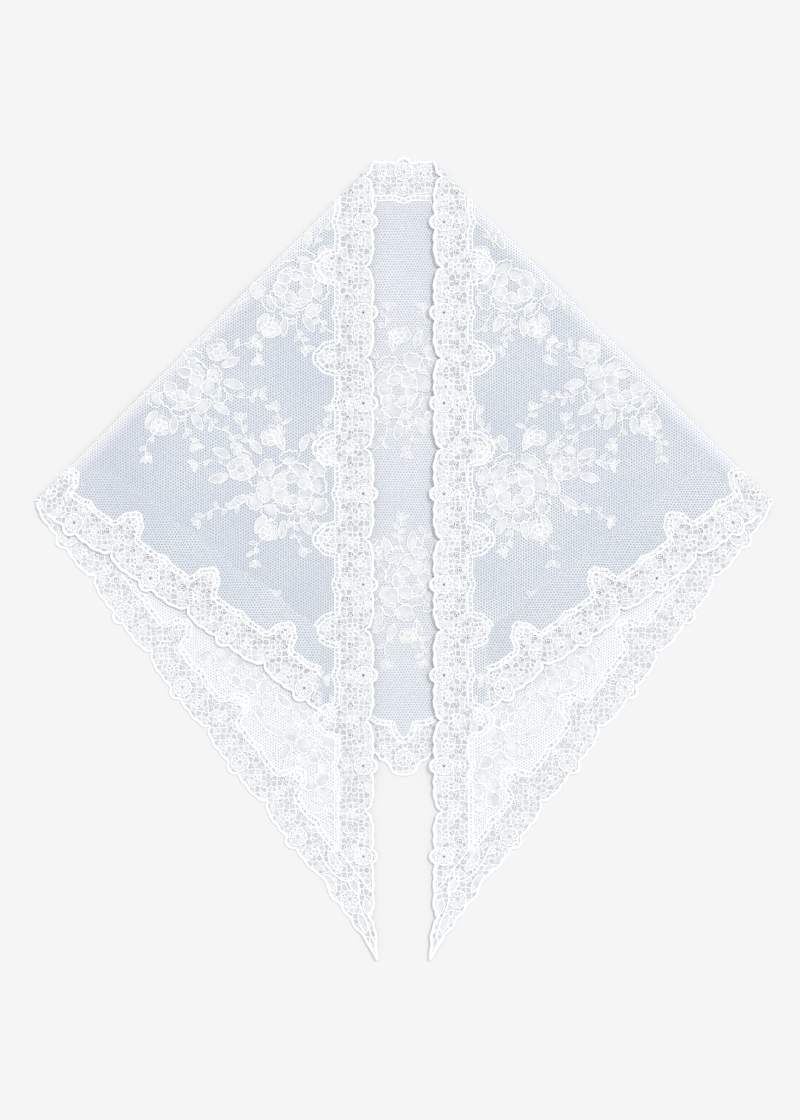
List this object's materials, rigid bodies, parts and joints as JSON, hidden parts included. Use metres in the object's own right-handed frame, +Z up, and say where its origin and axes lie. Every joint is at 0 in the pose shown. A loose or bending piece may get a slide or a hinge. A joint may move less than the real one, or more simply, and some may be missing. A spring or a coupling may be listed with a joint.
{
  "type": "lace shawl",
  "caption": "Triangular floral lace shawl with scalloped galloon borders, laid flat with both fronts folded over the back.",
  "frame": {"origin": "middle of the outline, on the surface that the shawl lies on", "axes": "+Y from the front tips to the neck, +Z up from the surface, +X across the two fronts"},
  "size_m": [0.6614, 0.7214, 0.0038],
  "materials": {
    "net": "fine hexagonal net with woven flowers, matt",
    "border": "corded galloon lace, matt with a faint thread sheen"
  },
  "bodies": {
    "root": {"net_ground": "net", "border_neck": "border", "border_front_left": "border", "border_front_right": "border", "border_hem": "border"}
  },
  "joints": []
}
